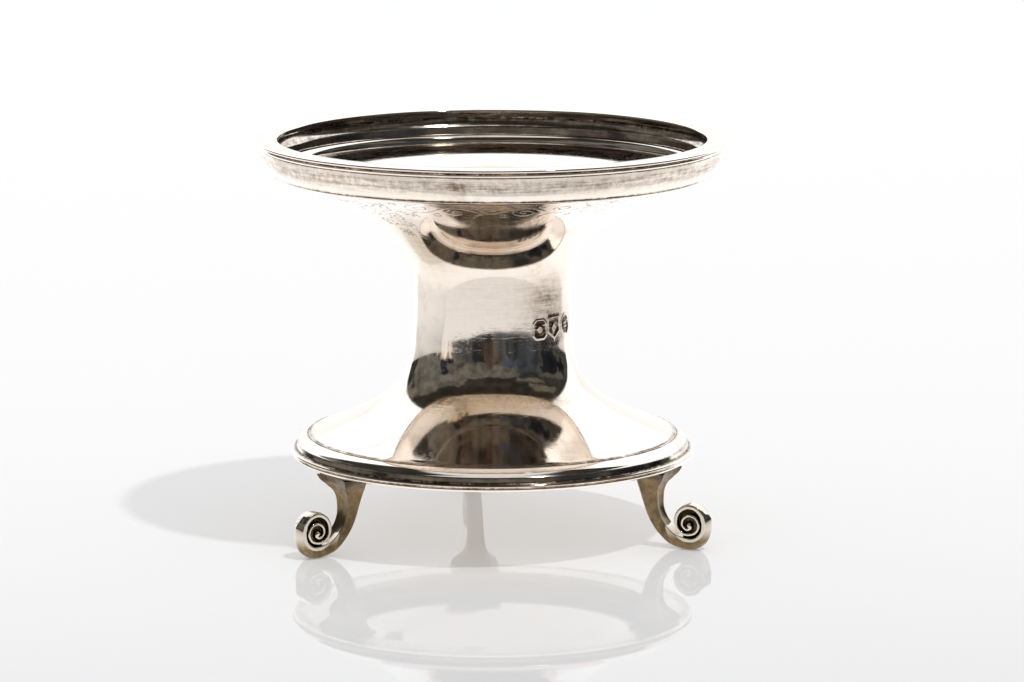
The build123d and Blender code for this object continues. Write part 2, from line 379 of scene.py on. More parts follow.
def distance_to(strokes, x, y):
    """Distance of each point from the nearest stroke."""
    best = np.full(x.shape, 1e9)
    for stroke in strokes:
        near = ((x > stroke[:, 0].min() - 1) & (x < stroke[:, 0].max() + 1)
                & (y > stroke[:, 1].min() - 1) & (y < stroke[:, 1].max() + 1))
        px, py = x[near], y[near]
        closest = np.full(px.shape, 1e9)
        for (ax, ay), (bx, by) in zip(stroke[:-1], stroke[1:]):
            dx, dy = bx - ax, by - ay
            share = np.clip(((px - ax) * dx + (py - ay) * dy) / (dx * dx + dy * dy + 1e-12), 0, 1)
            closest = np.minimum(closest, np.hypot(px - ax - share * dx, py - ay - share * dy))
        best[near] = np.minimum(best[near], closest)
    return best


# The punched marks stand in a row on the waist, and the mesh is fine within PUNCH_REACH of the row
PUNCH_HEIGHT = WAIST_SEAM + 2.5
PUNCH_ANGLES = [math.radians(a) for a in (31.0, 45.0, 60.5)]
PUNCH_DEPTH = 0.11
PUNCH_SIZE = 1.05
PUNCH_REACH = 1.9


def punch_depth(kind, x, y):
    """Sink of one punched mark: a cartouche with a plain raised figure inside."""
    x, y = x / PUNCH_SIZE, y / PUNCH_SIZE
    if kind == 0:
        field = np.maximum(np.abs(x) - 1.05, np.abs(y) - 1.3)
        field = np.maximum(field, (np.abs(x) + np.abs(y) - 1.95) * 0.707)
        figure = np.hypot(x, y) - 0.62
    elif kind == 1:
        field = np.maximum(np.abs(x) - 1.15, np.maximum(y - 1.45, -y - 1.45 + np.abs(x) * 0.75))
        figure = (np.abs(x) * 1.4 + np.abs(y) - 0.95) * 0.6
    else:
        field = np.hypot(x / 1.15, y / 1.45) - 1.0
        petals = [np.hypot(x - 0.42 * math.cos(a), y - 0.42 * math.sin(a)) - 0.3
                  for a in (0.8, 2.35, 3.9, 5.5)]
        figure = np.minimum.reduce(petals)
    wall = 0.16
    sunk = np.clip(0.5 - field / wall, 0, 1)
    raised = np.clip(0.5 - figure / wall, 0, 1)
    burr = 0.035 * np.exp(-((field - wall) / 0.14) ** 2)
    return PUNCH_DEPTH * sunk * (1 - raised) - burr


def bowl_ornament(radius, height, angle):
    """How far the bowl's outside is cut away by the engraving and the punched marks."""
    depth = np.zeros_like(radius)
    turn = (angle + math.pi) % TURN - math.pi
    share = np.clip((height - BOWL_NECK_TOP) / (BOWL_EDGE[1] - BOWL_NECK_TOP), 0, 1)
    outside = radius > WAIST_RADIUS + (BOWL_EDGE[0] - WAIST_RADIUS) * share ** BOWL_FLARE_POWER - 0.2
    flared = outside & (share > 0.2) & (height < BOWL_EDGE[1]) & (turn > ENGRAVED_FROM) & (turn < ENGRAVED_TO)
    down = np.hypot(BOWL_EDGE[0] - radius, BOWL_EDGE[1] - height)
    gap = distance_to(border_strokes(), turn[flared] * ENGRAVING_RADIUS, down[flared])
    across = (turn[flared] - SPRAY_ANGLE) * (radius[flared] + 2)
    gap = np.minimum(gap, distance_to(spray_strokes(), across, down[flared]))
    depth[flared] = CUT_DEPTH * np.clip(1 - (gap / CUT_HALF_WIDTH) ** 2, 0, 1)
    low = outside & (height < BOWL_NECK_TOP)
    for kind, place in enumerate(PUNCH_ANGLES):
        x = (turn[low] - place) * WAIST_RADIUS
        depth[low] += punch_depth(kind, x, height[low] - PUNCH_HEIGHT)
    return depth


def upper_bowl():
    edge, seam, neck = BAND_FOOT_RADIUS, BAND_BOTTOM, (WAIST_RADIUS, BOWL_NECK_TOP)
    shares = np.concatenate([np.linspace(0.03, 0.34, 12), np.linspace(0.36, 0.7, 34),
                             np.linspace(0.705, 0.965, 62), [0.98, 1.0]])
    outer = flare(neck, BOWL_EDGE, BOWL_FLARE_POWER, shares)[0]
    inner = flare(neck, BOWL_EDGE, BOWL_FLARE_POWER, np.linspace(1, 0, 24))[1]
    inner = [p for p in inner if p[1] < seam - 0.02]
    marks_from, marks_to = PUNCH_HEIGHT - PUNCH_REACH, PUNCH_HEIGHT + PUNCH_REACH
    waist = (line((WAIST_RADIUS, WAIST_SEAM), (WAIST_RADIUS, marks_from), 1)
             + line((WAIST_RADIUS, marks_from), (WAIST_RADIUS, marks_to), 38)
             + line((WAIST_RADIUS, marks_to), neck, 5))
    outline = ([(radius + waist_swell(height), height) for radius, height in waist]
               + [neck] + outer
               + arc((edge - 0.62, seam - 0.42), (edge - 0.42, seam - 0.24), (edge - 0.3, seam - 0.36), 4)
               + arc((edge - 0.3, seam - 0.36), (edge, seam - 0.17), (edge - 0.12, seam), 6)
               + line((edge - 0.12, seam), (inner[0][0] + 0.1, seam), 3)
               + inner
               + line((WAIST_INNER_RADIUS, BOWL_NECK_TOP - 0.4), (WAIST_INNER_RADIUS, WAIST_SEAM), 3)
               + [(WAIST_INNER_RADIUS, WAIST_SEAM)])
    front = np.arange(ENGRAVED_FROM, ENGRAVED_TO, ENGRAVED_STEP)
    rest = np.linspace(front[-1], ENGRAVED_FROM + TURN, 62)[1:-1]
    bowl = lathe("bowl_and_waist", outline, angles=np.concatenate([front, rest]), sink=bowl_ornament,
                 tarnish_and_shade_rings=[(edge - 0.42, seam - 0.3, 0.22, 1.0), (edge - 0.1, seam, 0.2, 0.9),
                        (edge - 3.0, seam + 0.2, 2.2, 0.35)],
                 stains=[(38, WAIST_RADIUS, BOWL_NECK_TOP - 0.5, 3.6, 3.4, 0.36),
                         (47, WAIST_RADIUS, PUNCH_HEIGHT + 0.5, 5.5, 2.4, 0.32),
                         (-5, WAIST_RADIUS, BOWL_NECK_TOP + 1.0, 12.0, 5.0, 0.06),
                         (-50, 16.5, 50.5, 5.0, 4.0, 0.14), (-48, 22.0, 55.5, 6.0, 4.0, 0.1)],
                 tones=[(-48, 17.0, 51.0, 6.0, 4.5, 0.75), (-46, 22.0, 55.5, 6.0, 4.0, 0.4),
                        (38, WAIST_RADIUS, BOWL_NECK_TOP - 1.0, 6.0, 6.0, 0.3)])
    stands_for(bowl, "bright_silver", "upper_bowl")
    return bowl


def bowl_pan():
    """A dished pan with its wall turned up against the inside of the waist."""
    wall, sheet = WAIST_INNER_RADIUS, 0.6
    under = smooth_line([(0.02, PAN_BOTTOM), (5.0, PAN_BOTTOM + 0.15), (wall - 2.2, PAN_BOTTOM + sheet)], 14)
    over = smooth_line([(wall - 2.2, PAN_BOTTOM + 2 * sheet), (5.0, PAN_BOTTOM + 0.15 + sheet),
                        (0.02, PAN_BOTTOM + sheet)], 14)
    outline = (under.tolist()[:-1]
               + arc((wall - 2.2, PAN_BOTTOM + sheet), (wall - 0.65, PAN_BOTTOM + 1.25),
                     (wall, PAN_BOTTOM + 2.8), 8)
               + line((wall, PAN_BOTTOM + 2.8), (wall, PAN_TOP), 3)
               + line((wall, PAN_TOP), (wall - sheet, PAN_TOP), 2)
               + line((wall - sheet, PAN_TOP), (wall - sheet, PAN_BOTTOM + 2.6), 4)
               + arc((wall - sheet, PAN_BOTTOM + 2.6), (wall - 1.1, PAN_BOTTOM + 1.6),
                     (wall - 2.2, PAN_BOTTOM + 2 * sheet), 8)
               + over.tolist())
    pan = lathe("bowl_floor_pan", outline, columns=160, tarnish_and_shade_rings=[(wall - 1.0, PAN_BOTTOM + 1.7, 1.0, 0.8)])
    stands_for(pan, "dull_silver", "bowl_pan")
    return pan


# ---------------------------------------- base
def base_flare():
    neck = (WAIST_RADIUS, WAIST_SEAM)
    outer = flare(neck, BASE_EDGE, BASE_FLARE_POWER, np.linspace(0.985, 0, 70))[0]
    inner = flare(neck, BASE_EDGE, BASE_FLARE_POWER, np.linspace(0, 1, 40))[1]
    groove = SHOULDER_RADIUS - 0.28
    outline = (arc((SHOULDER_RADIUS, SHOULDER_TOP - 0.08), (groove + 0.14, SHOULDER_TOP + 0.05),
                   (groove, SHOULDER_TOP - 0.06), 4)
               + outer + inner
               + [(SHOULDER_RADIUS, inner[-1][1] - 0.05)])
    flared = lathe("base_trumpet", outline, tarnish_and_shade_rings=[(groove, SHOULDER_TOP - 0.03, 0.2, 1.0)],
                   stains=[(-36, 16.8, 25.4, 2.6, 2.4, 0.35), (28, 17.0, 25.0, 2.2, 1.8, 0.3),
                           (-6, 16.3, 25.6, 12.0, 1.9, 0.1)],
                   tones=[(-6, 16.3, 25.6, 13.0, 2.4, 0.95), (-6, 22.0, 20.5, 16.0, 3.0, 0.2)])
    stands_for(flared, "bright_silver", "base_flare")
    return flared


def base_moulding():
    """From the bottom up: the fillet, a cove and a round shoulder that meets the trumpet."""
    def at(inside, above):
        """A place as its distance inside the widest radius and above the bottom of the border."""
        return BASE_RADIUS - inside, FILLET_BOTTOM + above

    lip, shoulder = SHOULDER_RADIUS, SHOULDER_TOP
    foot, fillet_foot, fillet_top = at(2.15, 0), at(0.08, 0), at(0.1, 0.44)
    cove_foot, cove_top, shoulder_foot = at(0.9, 0.69), at(1.09, 1.33), at(1.29, 1.64)
    outline = (line(foot, fillet_foot, 3)
               + arc(fillet_foot, at(0, 0.2), fillet_top, 6)
               + line(fillet_top, at(0.73, 0.53), 3)
               + arc(at(0.73, 0.53), at(0.85, 0.57), cove_foot, 5)
               + line(cove_foot, cove_top, 3)
               + arc(cove_top, at(1.16, 1.5), shoulder_foot, 6)
               + arc(shoulder_foot, at(1.99, 2.33), (lip + 0.12, shoulder - 0.04), 12)
               + arc((lip + 0.12, shoulder - 0.06), (lip + 0.05, shoulder - 0.1), (lip, shoulder - 0.2), 3)
               + line((lip, shoulder - 0.2), (lip, shoulder - 0.9), 2)
               + arc((lip, shoulder - 0.9), (lip + 0.85, FILLET_BOTTOM + 1.25), foot, 6))
    moulding = lathe("base_border", outline,
                     tarnish_and_shade_rings=[(*at(0.85, 0.55), 0.3, 0.9), (lip + 0.05, shoulder, 0.2, 1.0),
                            (*at(1.15, 1.4), 0.25, 0.4), (*at(0, 0), 0.12, 1.0)])
    stands_for(moulding, "bright_silver", "base_moulding")
    return moulding


def base_bead():
    core = BASE_RADIUS - 0.5
    bead = lathe("base_bead_wire", half_round(SEAT_OUTER_RADIUS, core, SEAT_BOTTOM, FILLET_BOTTOM),
                 tarnish_and_shade_rings=[(core, FILLET_BOTTOM, 0.12, 1.0), (core - 0.3, SEAT_BOTTOM, 0.25, 0.7)])
    stands_for(bead, "bright_silver", "base_bead")
    return bead


def foot_seat():
    inner, outer, low, high = 28.0, SEAT_OUTER_RADIUS, SEAT_BOTTOM, FILLET_BOTTOM
    outline = (arc((inner, low + 0.15), (inner + 0.05, low + 0.04), (inner + 0.15, low), 4)
               + line((inner + 0.15, low), (outer, low), 6)
               + line((outer, low), (outer, high), 1)
               + line((outer, high), (inner, high), 6)
               + line((inner, high), (inner, low + 0.15), 1))
    seat = lathe("foot_seat_ring", outline, tarnish_and_shade_rings=[(outer, low, 0.8, 0.7)])
    stands_for(seat, "dull_silver", "foot_seat")
    return seat


# ---------------------------------------- scroll feet
EYE = (FOOT_REACH - 3.3, 4.3)
STRIP_HALF_WIDTH = 1.4
# Half sizes of the balls that make the eye and the floor of the scroll
EYE_BALL = (0.66, 1.6, 0.66)
SCROLL_CORE = (2.6, 0.6, 2.85)
FOOT_VOXEL = 0.08
# The scroll is rubbed clean within SCROLL_RADIUS of its middle, which is just above the eye. The
# end of the leg is cleaner higher up within COIL_RADIUS of the eye.
SCROLL_MIDDLE = EYE[1] + 0.2
SCROLL_RADIUS = 3.1
COIL_RADIUS = 4.2
CLEANER_FROM, CLEANER_OVER = EYE[1] - 2.6, 2.2
# Shares of tarnish on the leg and of what the scroll has rubbed off; at the seam by the plate and on the
# plates, tarnish with painted shade
LEG_SOIL, RUBBED_OFF, SEAM_SOIL_AND_SHADE, PLATE_SOIL_AND_SHADE = 0.84, 0.68, 0.7, 0.9

# Leg from inside its plate down to where it turns under the scroll: distance from the axis, height,
# half width across, half depth, and how far the back is crowned as a share of the half depth
LEG_STATIONS = [
    (29.90, 14.80, 5.80, 4.50, 0.05),
    (29.88, 13.80, 4.75, 3.80, 0.05),
    (29.85, 13.10, 4.02, 3.28, 0.05),
    (29.65, 12.15, 3.10, 2.72, 0.08),
    (29.45, 11.00, 2.36, 2.18, 0.10),
    (29.45, 9.60, 1.80, 1.74, 0.12),
    (29.65, 8.00, 1.52, 1.44, 0.15),
    (30.05, 6.20, 1.42, 1.22, 0.15),
    (30.85, 4.50, 1.40, 1.12, 0.15),
    (32.10, 2.95, 1.40, 1.10, 0.15),
    (33.80, 1.65, 1.40, 1.08, 0.12),
]
# The band that the leg becomes, coiled about the eye: turn in degrees from straight out, distance
# from the eye, half depth and crown. The crown swells to a corner at the upper outside.
COIL_STATIONS = [
    (-90, 3.28, 1.00, 0.08),
    (-58, 3.14, 0.80, 0.25),
    (-25, 2.86, 0.52, 0.75),
    (5, 2.78, 0.42, 1.10),
    (24, 2.84, 0.42, 1.35),
    (40, 3.02, 0.42, 0.45),
    (66, 3.20, 0.42, 0.20),
    (95, 3.22, 0.42, 0.15),
    (125, 2.95, 0.38, 0.10),
    (155, 2.62, 0.35, 0.10),
    (190, 2.28, 0.32, 0.05),
    (230, 1.90, 0.27, 0.0),
    (270, 1.66, 0.24, 0.0),
    (315, 1.72, 0.24, 0.0),
    (360, 1.82, 0.24, 0.0),
    (405, 1.80, 0.24, 0.0),
    (450, 1.68, 0.24, 0.0),
    (495, 1.46, 0.24, 0.0),
    (540, 1.22, 0.24, 0.0),
    (600, 0.92, 0.24, 0.0),
    (660, 0.62, 0.26, 0.0),
    (715, 0.35, 0.30, 0.0),
]
# Section of the leg: across and in depth, as shares of the half width and half depth. The front is
# slightly hollow between crisp corners, and the points below CROWN_BELOW are the crown of the back.
CROWN_BELOW = -0.69
LEG_SECTION = [(-1.0, 1.0), (-0.5, 0.86), (0, 0.8), (0.5, 0.86), (1.0, 1.0), (1.0, 0.0), (0.96, -0.7),
               (0.6, -0.95), (0, -1.0), (-0.6, -0.95), (-0.96, -0.7), (-1.0, 0.0)]


def swept(stations, section, steps, around=6):
    """Points and faces of a closed form swept along stations in the plane of the scroll."""
    rows = smooth_line(stations, steps)
    tangent = np.gradient(rows[:, :2], axis=0)
    tangent /= np.linalg.norm(tangent, axis=1)[:, None]
    front = np.stack([-tangent[:, 1], tangent[:, 0]], -1)
    corners = np.asarray(section, dtype=float)
    ring = np.concatenate([corners[i] + (np.roll(corners, -1, 0)[i] - corners[i])
                           * np.arange(around)[:, None] / around for i in range(len(corners))])
    across = rows[:, 2][:, None] * ring[:, 0][None]
    crown = np.where(ring[:, 1] < CROWN_BELOW, 1 - np.abs(ring[:, 0]), 0)
    deep = rows[:, 3][:, None] * (ring[:, 1][None] - rows[:, 4][:, None] * crown[None])
    points = np.stack([rows[:, 0][:, None] + deep * front[:, 0][:, None], across,
                       rows[:, 1][:, None] + deep * front[:, 1][:, None]], -1)
    return points.reshape(-1, 3), tube_faces(len(rows), len(ring))


def foot_stations():
    """The leg and its coil as one line of stations."""
    stations = list(LEG_STATIONS)
    for degrees, distance, half_depth, crown in COIL_STATIONS:
        turn = math.radians(degrees)
        stations.append((EYE[0] + distance * math.cos(turn), EYE[1] + distance * math.sin(turn),
                         STRIP_HALF_WIDTH, half_depth, crown))
    return stations


def ball(centre, size, rings=16, sides=24):
    """Points and faces of an ellipsoid."""
    points = [(centre[0], centre[1], centre[2] + size[2])]
    for i in range(1, rings):
        polar = math.pi * i / rings
        for j in range(sides):
            turn = TURN * j / sides
            points.append((centre[0] + size[0] * math.sin(polar) * math.cos(turn),
                           centre[1] + size[1] * math.sin(polar) * math.sin(turn),
                           centre[2] + size[2] * math.cos(polar)))
    points.append((centre[0], centre[1], centre[2] - size[2]))
    faces = [(0, 1 + j, 1 + (j + 1) % sides) for j in range(sides)]
    for i in range(rings - 2):
        a, b = 1 + i * sides, 1 + (i + 1) * sides
        faces += [(a + j, b + j, b + (j + 1) % sides, a + (j + 1) % sides) for j in range(sides)]
    last, a = len(points) - 1, 1 + (rings - 2) * sides
    faces += [(last, a + (j + 1) % sides, a + j) for j in range(sides)]
    return np.array(points), faces


def foot_mesh():
    """One scroll foot, drawn with its radius along +X, joined into a single skin."""
    forms = [swept(foot_stations(), LEG_SECTION, 420),
             ball((EYE[0], 0, EYE[1]), EYE_BALL),
             ball((EYE[0] + 0.05, 0, EYE[1] + 0.3), SCROLL_CORE)]
    points, faces = [], []
    for form_points, form_faces in forms:
        first = sum(len(p) for p in points)
        points.append(form_points)
        faces += [tuple(first + v for v in face) for face in form_faces]
    rough = mesh_object("foot_rough", np.vstack(points), faces)
    face_outwards(rough.data)
    join = rough.modifiers.new("join", "REMESH")
    join.mode = "VOXEL"
    join.voxel_size = FOOT_VOXEL * MM
    relax = rough.modifiers.new("relax", "SMOOTH")
    relax.factor, relax.iterations = 0.5, 2
    done = bpy.data.meshes.new_from_object(rough.evaluated_get(bpy.context.evaluated_depsgraph_get()))
    bpy.data.objects.remove(rough)
    edit = bmesh.new()
    edit.from_mesh(done)
    bmesh.ops.bisect_plane(edit, geom=[*edit.verts, *edit.edges, *edit.faces], clear_outer=True,
                           plane_co=(0, 0, PLATE_BOTTOM * MM), plane_no=(0, 0, 1))
    bmesh.ops.holes_fill(edit, edges=[edge for edge in edit.edges if edge.is_boundary])
    edit.verts.index_update()
    place = np.array([vertex.co for vertex in edit.verts]) / MM
    faces = [tuple(vertex.index for vertex in face.verts) for face in edit.faces]
    edit.free()
    place[:, 2] = np.maximum(place[:, 2], 0)
    return place, faces


def foot_soil_and_shade(points):
    """Darkening on a foot: tarnish thick on the leg and rubbed off the scroll, tarnish and painted shade by
    the plate and in the hollows.
    """
    out, across, height = points.T
    # Tarnish and painted shade next to the plate, under the seat ring
    near_plate = np.exp(-((PLATE_BOTTOM - height) / 0.7) ** 2)
    from_middle = np.hypot(out - EYE[0], height - SCROLL_MIDDLE)
    in_scroll = from_middle < SCROLL_RADIUS
    # Tarnish and painted shade in the hollows of the scroll
    hollow = np.where(in_scroll, np.clip((STRIP_HALF_WIDTH - 0.1 - np.abs(across)) / 0.4, 0, 1), 0)
    hollow[in_scroll & (from_middle > SCROLL_RADIUS - 0.35)] *= 0.2
    coiled = np.hypot(out - EYE[0], height - EYE[1]) < COIL_RADIUS
    rubbed = np.where(coiled, np.clip((height - CLEANER_FROM) / CLEANER_OVER, 0, 1), 0)
    rubbed = np.where(in_scroll, 1.0, rubbed)
    return LEG_SOIL - RUBBED_OFF * rubbed + SEAM_SOIL_AND_SHADE * near_plate + hollow


def at_each_foot(name, node, points, faces, soil_and_shade, crisp_above):
    """Three pieces alike, drawn with their radius along +X and swung round to the feet's places."""
    out, across, height = points.T
    made = []
    for place, angle in FOOT_ANGLES.items():
        swung = np.stack([out * math.sin(angle) - across * math.cos(angle),
                          -out * math.cos(angle) - across * math.sin(angle), height], -1)
        thing = mesh_object(f"{name}_{place}", swung, faces, crisp_above)
        face_outwards(thing.data)
        store(thing, "soil_and_shade", soil_and_shade)
        stands_for(thing, "tarnished_silver", f"{node}_{place}")
        made.append(thing)
    return made


def scroll_feet():
    points, faces = foot_mesh()
    return at_each_foot("scroll_foot_casting", "scroll_foot", points, faces, foot_soil_and_shade(points), 60)


def foot_plates():
    """Thin plates with softened edges between the seat and the feet."""
    middle, half_deep, half_wide, corner, soft = 29.9, 3.3, 4.05, 0.9, 0.12
    rim = []
    for quarter, (side_x, side_y) in enumerate(((1, 1), (-1, 1), (-1, -1), (1, -1))):
        for step in range(6):
            turn = math.pi / 2 * (quarter + step / 5)
            rim.append((side_x * (half_deep - corner) + corner * math.cos(turn),
                        side_y * (half_wide - corner) + corner * math.sin(turn)))
    layers = ((0.93, PLATE_BOTTOM), (1.0, PLATE_BOTTOM + soft), (1.0, SEAT_BOTTOM - soft),
              (0.97, SEAT_BOTTOM))
    points = np.array([(middle + out * grow, across * grow, height)
                       for grow, height in layers for out, across in rim])
    # The plates are darkened all over: tarnish and painted shade under the seat ring
    faces, soil_and_shade = tube_faces(len(layers), len(rim)), np.full(len(points), PLATE_SOIL_AND_SHADE)
    return at_each_foot("foot_spreader", "foot_plate", points, faces, soil_and_shade, 35)


# ---------------------------------------- materials
class Nodes:
    """The nodes of one material or world, started afresh."""

    def __init__(self, owner):
        owner.use_nodes = True
        self.tree = owner.node_tree
        self.tree.nodes.clear()

    def put(self, socket, value):
        """Gives an input a number or colour, or links it to another node's output."""
        if isinstance(value, bpy.types.NodeSocket):
            self.tree.links.new(value, socket)
        elif socket.type == "RGBA":
            socket.default_value = (*value, 1)
        else:
            socket.default_value = value

    def make(self, kind, **settings):
        """A new shader node. A setting that starts with in_ is for the input of that name."""
        node = self.tree.nodes.new("ShaderNode" + kind)
        for key, value in settings.items():
            if key.startswith("in_"):
                self.put(node.inputs[key[3:].replace("_", " ")], value)
            else:
                setattr(node, key, value)
        return node

    def maths(self, operation, *values, **settings):
        """The result of a Math node."""
        node = self.make("Math", operation=operation, **settings)
        for socket, value in zip(node.inputs, values):
            self.put(socket, value)
        return node.outputs[0]

    def times(self, a, b):
        return self.maths("MULTIPLY", a, b)

    def plus(self, a, b):
        return self.maths("ADD", a, b)

    def remap(self, value, low=0.0, high=1.0, to_low=0.0, to_high=1.0, **settings):
        """Moves a value from one range to another, and keeps it there."""
        node = self.make("MapRange", in_Value=value, in_From_Min=low, in_From_Max=high,
                         in_To_Min=to_low, in_To_Max=to_high, **settings)
        return node.outputs["Result"]

    def between(self, value, low, high, soft):
        """1 between low and high, falling to 0 over a soft margin outside."""
        rise = self.remap(value, low - soft, low, interpolation_type="SMOOTHSTEP")
        fall = self.remap(value, high, high + soft, 1.0, 0.0, interpolation_type="SMOOTHSTEP")
        return self.times(rise, fall)

    def noise(self, place, scale, detail, roughness=0.5):
        return self.make("TexNoise", in_Vector=place, in_Scale=scale, in_Detail=detail,
                         in_Roughness=roughness)

    def mix(self, share, under, over, blend="MIX"):
        """Lays one colour over another by a share."""
        node = self.make("Mix", data_type="RGBA", blend_type=blend, in_Factor=share, in_A=under,
                         in_B=over)
        return node.outputs["Result"]

    def ramp(self, value, *stops):
        """A colour ramp with stops given as (position, grey or colour)."""
        node = self.make("ValToRGB", in_Fac=value)
        elements = node.color_ramp.elements
        while len(elements) < len(stops):
            elements.new(1.0)
        for element, (position, shade) in zip(elements, stops):
            element.position = position
            element.color = (shade, shade, shade, 1) if isinstance(shade, float) else (*shade, 1)
        return node.outputs["Color"]

    def finish(self, kind, shader):
        """Ends the tree in a material's or a world's output."""
        self.make(kind, in_Surface=shader)


WHITE = (1.0, 1.0, 1.0)
# Two noises added together pass this range where the tarnish goes from its thinnest to its thickest
GRAIN_LEVELS = (0.78, 1.22)
STAINED_AT = 0.75
STAINED_ROUGHNESS = 0.34
GOLDEN_TONE = (0.68, 0.59, 0.46)
# Sets of hairline scratches: a turn in radians, and how much longer than wide the noise is drawn out
SCRATCHES = ((0.35, 26.0), (-0.6, 34.0), (1.25, 30.0))
SCRATCH_SCALE = 110.0
SCRATCH_LEVELS = (0.62, 0.72)
SCRATCH_DISTANCE = 0.00002


def silver(name, clean, stain, roughness, cloudy_from, scratch_depth, grain_scale, grain_range=(0.2, 1.6)):
    """Polished silver: stained with tarnish and painted shade where stored, cloudy in patches, with hairline
    scratches.

    cloudy_from is the level of a noise from 0 to 1 above which the patches begin. grain_scale draws
    out the tarnish round a turned piece, and grain_range is the share of the stored tarnish and painted
    shade that shows where the tarnish is thinnest and where it is thickest.
    """
    material = bpy.data.materials.new(name)
    nodes = Nodes(material)
    place = nodes.make("TexCoord").outputs["Object"]
    soil_and_shade = nodes.make("Attribute", attribute_name="soil_and_shade").outputs["Fac"]
    tone = nodes.make("Attribute", attribute_name="tone").outputs["Fac"]
    cloud = nodes.noise(place, 95.0, 5.0, 0.62).outputs["Fac"]
    speck = nodes.noise(place, 900.0, 4.0, 0.7).outputs["Fac"]
    around = nodes.make("Mapping", in_Vector=place, in_Scale=grain_scale).outputs["Vector"]
    streak = nodes.noise(around, 1.0, 4.0, 0.6).outputs["Fac"]

    specks = nodes.times(nodes.ramp(cloud, (cloudy_from, 0.0), (cloudy_from + 0.36, 1.0)), speck)
    grain = nodes.remap(nodes.plus(streak, speck), *GRAIN_LEVELS, *grain_range)
    # Tarnish and painted shade, with real specks, as one share
    dirt_and_shade = nodes.maths("ADD", nodes.times(soil_and_shade, grain), specks, use_clamp=True)
    # The colour runs from clean through stain to near black where tarnish and painted shade are thickest
    darkest_stain_and_shade = tuple(channel * 0.3 for channel in stain)
    colour = nodes.ramp(dirt_and_shade, (0.0, clean), (STAINED_AT, stain), (1.0, darkest_stain_and_shade))

    scratched = 0.0
    for turn, stretch in SCRATCHES:
        spun = nodes.make("Mapping", in_Vector=place, in_Rotation=(turn, turn * 0.7, turn * 1.3),
                          in_Scale=(SCRATCH_SCALE, SCRATCH_SCALE * stretch, SCRATCH_SCALE * stretch))
        hair = nodes.noise(spun.outputs["Vector"], 1.0, 2.0).outputs["Fac"]
        thin = nodes.ramp(hair, (SCRATCH_LEVELS[0], 0.0), (SCRATCH_LEVELS[1], 1.0))
        scratched = nodes.plus(thin, scratched)
    bump = nodes.make("Bump", invert=True, in_Strength=scratch_depth, in_Distance=SCRATCH_DISTANCE,
                      in_Height=scratched)

    shader = nodes.make("BsdfPrincipled", in_Metallic=1.0,
                        in_Base_Color=nodes.mix(tone, colour, GOLDEN_TONE, "MULTIPLY"),
                        in_Roughness=nodes.remap(dirt_and_shade, to_low=roughness, to_high=STAINED_ROUGHNESS),
                        in_Normal=bump.outputs["Normal"])
    nodes.finish("OutputMaterial", shader.outputs["BSDF"])
    return material


# The sheet's white at shares of the way from the first to the second of these places along Y, in
# metres: painted shade, greyer in front. It glows with painted light, more in what the silver
# mirrors, and has part of acrylic's gloss.
FLOOR_DEPTHS = (-0.11, 0.6)
FLOOR_SHADED_WHITES = ((0.0, (0.75, 0.752, 0.758)), (0.13, (0.837, 0.839, 0.843)), (0.35, (0.888, 0.889, 0.89)),
                (1.0, (0.945, 0.945, 0.945)))
FLOOR_PAINTED_GLOW, FLOOR_PAINTED_LIFT = 0.29, 0.36
FLOOR_MIRROR, FLOOR_ROUGHNESS, ACRYLIC_IOR = 0.78, 0.025, 1.49


def white_floor():
    """Glossy white sheet: painted shade greyer in front, a painted glow, brighter still in the silver."""
    material = bpy.data.materials.new("white_acrylic")
    nodes = Nodes(material)
    place = nodes.make("TexCoord").outputs["Object"]
    depth = nodes.make("SeparateXYZ", in_Vector=place).outputs["Y"]
    # Painted shade: greyer towards the front
    white = nodes.ramp(nodes.remap(depth, *FLOOR_DEPTHS), *FLOOR_SHADED_WHITES)
    matt = nodes.make("BsdfDiffuse", in_Color=white).outputs["BSDF"]
    # Painted light: the sheet glows, and more in what the silver mirrors
    mirrored = nodes.make("LightPath").outputs["Is Glossy Ray"]
    painted_glow = nodes.make("Emission", in_Color=white,
                      in_Strength=nodes.maths("MULTIPLY_ADD", mirrored, FLOOR_PAINTED_LIFT, FLOOR_PAINTED_GLOW))
    gloss = nodes.make("BsdfGlossy", in_Roughness=FLOOR_ROUGHNESS).outputs["BSDF"]
    shine = nodes.make("Fresnel", in_IOR=ACRYLIC_IOR).outputs["Fac"]
    sheet = nodes.make("AddShader")
    nodes.put(sheet.inputs[0], matt)
    nodes.put(sheet.inputs[1], painted_glow.outputs["Emission"])
    shader = nodes.make("MixShader", in_Fac=nodes.times(shine, FLOOR_MIRROR))
    nodes.put(shader.inputs[1], sheet.outputs["Shader"])
    nodes.put(shader.inputs[2], gloss)
    nodes.finish("OutputMaterial", shader.outputs["Shader"])
    return material


# Painted light: a card that glows, seen only in the silver's reflections
def glowing_card(brightness):
    material = bpy.data.materials.new("painted_reflection_card")
    nodes = Nodes(material)
    painted_glow = nodes.make("Emission", in_Color=WHITE, in_Strength=brightness)
    nodes.finish("OutputMaterial", painted_glow.outputs["Emission"])
    return material


